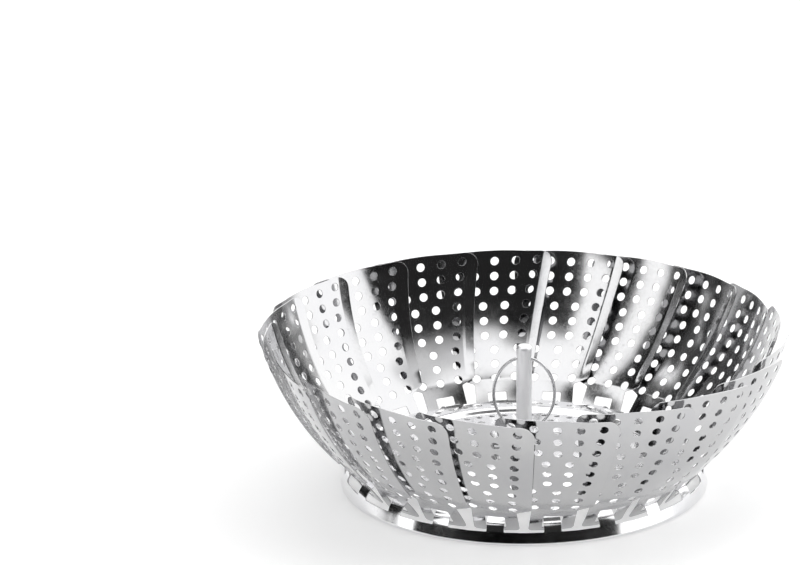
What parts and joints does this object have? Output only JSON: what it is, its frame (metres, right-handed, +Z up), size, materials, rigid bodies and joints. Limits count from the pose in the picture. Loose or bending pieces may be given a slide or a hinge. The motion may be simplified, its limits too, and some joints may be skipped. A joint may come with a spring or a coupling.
{
  "type": "folding steamer basket",
  "caption": "Folding steamer basket: a round perforated plate on a short skirt, ringed by hinged overlapping petals, with a centre post and lift ring and fold-out legs.",
  "frame": {"origin": "on the table surface under the centre post, where the skirt stands", "axes": "+Z up along the centre post; the lift ring swings about X and hangs on the +Y side; -Y is the side towards the camera"},
  "size_m": [0.2012, 0.2034, 0.0613],
  "materials": {
    "plate_steel": "polished stainless sheet",
    "petal_steel": "polished stainless sheet",
    "post_steel": "turned and polished",
    "ring_steel": "polished wire",
    "leg_steel": "satin strip"
  },
  "bodies": {
    "base": {"base_plate": "plate_steel", "centre_post": "post_steel", "post_washer": "post_steel", "post_nut": "post_steel", "leg_bracket_1": "leg_steel", "leg_bracket_2": "leg_steel", "leg_bracket_3": "leg_steel", "leg_pin_1": "leg_steel", "leg_pin_2": "leg_steel", "leg_pin_3": "leg_steel", "leg_rivet_1": "leg_steel", "leg_rivet_2": "leg_steel", "leg_rivet_3": "leg_steel"},
    "petal_01": {"petal_01": "petal_steel"},
    "petal_02": {"petal_02": "petal_steel"},
    "petal_03": {"petal_03": "petal_steel"},
    "petal_04": {"petal_04": "petal_steel"},
    "petal_05": {"petal_05": "petal_steel"},
    "petal_06": {"petal_06": "petal_steel"},
    "petal_07": {"petal_07": "petal_steel"},
    "petal_08": {"petal_08": "petal_steel"},
    "petal_09": {"petal_09": "petal_steel"},
    "petal_10": {"petal_10": "petal_steel"},
    "petal_11": {"petal_11": "petal_steel"},
    "petal_12": {"petal_12": "petal_steel"},
    "petal_13": {"petal_13": "petal_steel"},
    "petal_14": {"petal_14": "petal_steel"},
    "petal_15": {"petal_15": "petal_steel"},
    "petal_16": {"petal_16": "petal_steel"},
    "petal_17": {"petal_17": "petal_steel"},
    "petal_18": {"petal_18": "petal_steel"},
    "petal_19": {"petal_19": "petal_steel"},
    "petal_20": {"petal_20": "petal_steel"},
    "lift_ring": {"lift_ring": "ring_steel"},
    "leg_1": {"leg_1": "leg_steel"},
    "leg_2": {"leg_2": "leg_steel"},
    "leg_3": {"leg_3": "leg_steel"}
  },
  "joints": [
    {"name": "petal_01_hinge", "type": "hinge", "parent": "base", "child": "petal_01", "pos_m": [-0.00998, -0.06372, 0.0049], "axis": [-0.9762, 0.1572, -0.1494], "range_deg": [-20, 50]},
    {"name": "petal_02_hinge", "type": "hinge", "parent": "base", "child": "petal_02", "pos_m": [0.0102, -0.06369, 0.0049], "axis": [-0.977, -0.1521, -0.1494], "range_deg": [-20, 50]},
    {"name": "petal_03_hinge", "type": "hinge", "parent": "base", "child": "petal_03", "pos_m": [0.02938, -0.05742, 0.0049], "axis": [-0.8822, -0.4466, -0.1494], "range_deg": [-20, 50]},
    {"name": "petal_04_hinge", "type": "hinge", "parent": "base", "child": "petal_04", "pos_m": [0.04569, -0.04553, 0.0049], "axis": [-0.701, -0.6973, -0.1494], "range_deg": [-20, 50]},
    {"name": "petal_05_hinge", "type": "hinge", "parent": "base", "child": "petal_05", "pos_m": [0.05752, -0.02918, 0.0049], "axis": [-0.4512, -0.8798, -0.1494], "range_deg": [-20, 50]},
    {"name": "petal_06_hinge", "type": "hinge", "parent": "base", "child": "petal_06", "pos_m": [0.06372, -0.00998, 0.0049], "axis": [-0.1572, -0.9762, -0.1494], "range_deg": [-20, 50]},
    {"name": "petal_07_hinge", "type": "hinge", "parent": "base", "child": "petal_07", "pos_m": [0.06369, 0.0102, 0.0049], "axis": [0.1521, -0.977, -0.1494], "range_deg": [-20, 50]},
    {"name": "petal_08_hinge", "type": "hinge", "parent": "base", "child": "petal_08", "pos_m": [0.05742, 0.02938, 0.0049], "axis": [0.4466, -0.8822, -0.1494], "range_deg": [-20, 50]},
    {"name": "petal_09_hinge", "type": "hinge", "parent": "base", "child": "petal_09", "pos_m": [0.04553, 0.04569, 0.0049], "axis": [0.6973, -0.701, -0.1494], "range_deg": [-20, 50]},
    {"name": "petal_10_hinge", "type": "hinge", "parent": "base", "child": "petal_10", "pos_m": [0.02918, 0.05752, 0.0049], "axis": [0.8798, -0.4512, -0.1494], "range_deg": [-20, 50]},
    {"name": "petal_11_hinge", "type": "hinge", "parent": "base", "child": "petal_11", "pos_m": [0.00998, 0.06372, 0.0049], "axis": [0.9762, -0.1572, -0.1494], "range_deg": [-20, 50]},
    {"name": "petal_12_hinge", "type": "hinge", "parent": "base", "child": "petal_12", "pos_m": [-0.0102, 0.06369, 0.0049], "axis": [0.977, 0.1521, -0.1494], "range_deg": [-20, 50]},
    {"name": "petal_13_hinge", "type": "hinge", "parent": "base", "child": "petal_13", "pos_m": [-0.02938, 0.05742, 0.0049], "axis": [0.8822, 0.4466, -0.1494], "range_deg": [-20, 50]},
    {"name": "petal_14_hinge", "type": "hinge", "parent": "base", "child": "petal_14", "pos_m": [-0.04569, 0.04553, 0.0049], "axis": [0.701, 0.6973, -0.1494], "range_deg": [-20, 50]},
    {"name": "petal_15_hinge", "type": "hinge", "parent": "base", "child": "petal_15", "pos_m": [-0.05752, 0.02918, 0.0049], "axis": [0.4512, 0.8798, -0.1494], "range_deg": [-20, 50]},
    {"name": "petal_16_hinge", "type": "hinge", "parent": "base", "child": "petal_16", "pos_m": [-0.06372, 0.00998, 0.0049], "axis": [0.1572, 0.9762, -0.1494], "range_deg": [-20, 50]},
    {"name": "petal_17_hinge", "type": "hinge", "parent": "base", "child": "petal_17", "pos_m": [-0.06369, -0.0102, 0.0049], "axis": [-0.1521, 0.977, -0.1494], "range_deg": [-20, 50]},
    {"name": "petal_18_hinge", "type": "hinge", "parent": "base", "child": "petal_18", "pos_m": [-0.05742, -0.02938, 0.0049], "axis": [-0.4466, 0.8822, -0.1494], "range_deg": [-20, 50]},
    {"name": "petal_19_hinge", "type": "hinge", "parent": "base", "child": "petal_19", "pos_m": [-0.04553, -0.04569, 0.0049], "axis": [-0.6973, 0.701, -0.1494], "range_deg": [-20, 50]},
    {"name": "petal_20_hinge", "type": "hinge", "parent": "base", "child": "petal_20", "pos_m": [-0.02918, -0.05752, 0.0049], "axis": [-0.8798, 0.4512, -0.1494], "range_deg": [-20, 50]},
    {"name": "lift_ring_swing", "type": "hinge", "parent": "base", "child": "lift_ring", "pos_m": [0, 0, 0.0499], "axis": [1, 0, 0], "range_deg": [0, 344]},
    {"name": "leg_1_fold", "type": "hinge", "parent": "base", "child": "leg_1", "pos_m": [0, 0.047, 0.0052], "axis": [1, 0, 0], "range_deg": [0, 95]},
    {"name": "leg_2_fold", "type": "hinge", "parent": "base", "child": "leg_2", "pos_m": [-0.0407, -0.0235, 0.0052], "axis": [-0.5, 0.866, 0], "range_deg": [0, 95]},
    {"name": "leg_3_fold", "type": "hinge", "parent": "base", "child": "leg_3", "pos_m": [0.0407, -0.0235, 0.0052], "axis": [-0.5, -0.866, 0], "range_deg": [0, 95]}
  ],
  "couplings": [
    {"joint": "petal_02_hinge", "follows": "petal_01_hinge", "ratio": 1},
    {"joint": "petal_03_hinge", "follows": "petal_01_hinge", "ratio": 1},
    {"joint": "petal_04_hinge", "follows": "petal_01_hinge", "ratio": 1},
    {"joint": "petal_05_hinge", "follows": "petal_01_hinge", "ratio": 1},
    {"joint": "petal_06_hinge", "follows": "petal_01_hinge", "ratio": 1},
    {"joint": "petal_07_hinge", "follows": "petal_01_hinge", "ratio": 1},
    {"joint": "petal_08_hinge", "follows": "petal_01_hinge", "ratio": 1},
    {"joint": "petal_09_hinge", "follows": "petal_01_hinge", "ratio": 1},
    {"joint": "petal_10_hinge", "follows": "petal_01_hinge", "ratio": 1},
    {"joint": "petal_11_hinge", "follows": "petal_01_hinge", "ratio": 1},
    {"joint": "petal_12_hinge", "follows": "petal_01_hinge", "ratio": 1},
    {"joint": "petal_13_hinge", "follows": "petal_01_hinge", "ratio": 1},
    {"joint": "petal_14_hinge", "follows": "petal_01_hinge", "ratio": 1},
    {"joint": "petal_15_hinge", "follows": "petal_01_hinge", "ratio": 1},
    {"joint": "petal_16_hinge", "follows": "petal_01_hinge", "ratio": 1},
    {"joint": "petal_17_hinge", "follows": "petal_01_hinge", "ratio": 1},
    {"joint": "petal_18_hinge", "follows": "petal_01_hinge", "ratio": 1},
    {"joint": "petal_19_hinge", "follows": "petal_01_hinge", "ratio": 1},
    {"joint": "petal_20_hinge", "follows": "petal_01_hinge", "ratio": 1}
  ]
}
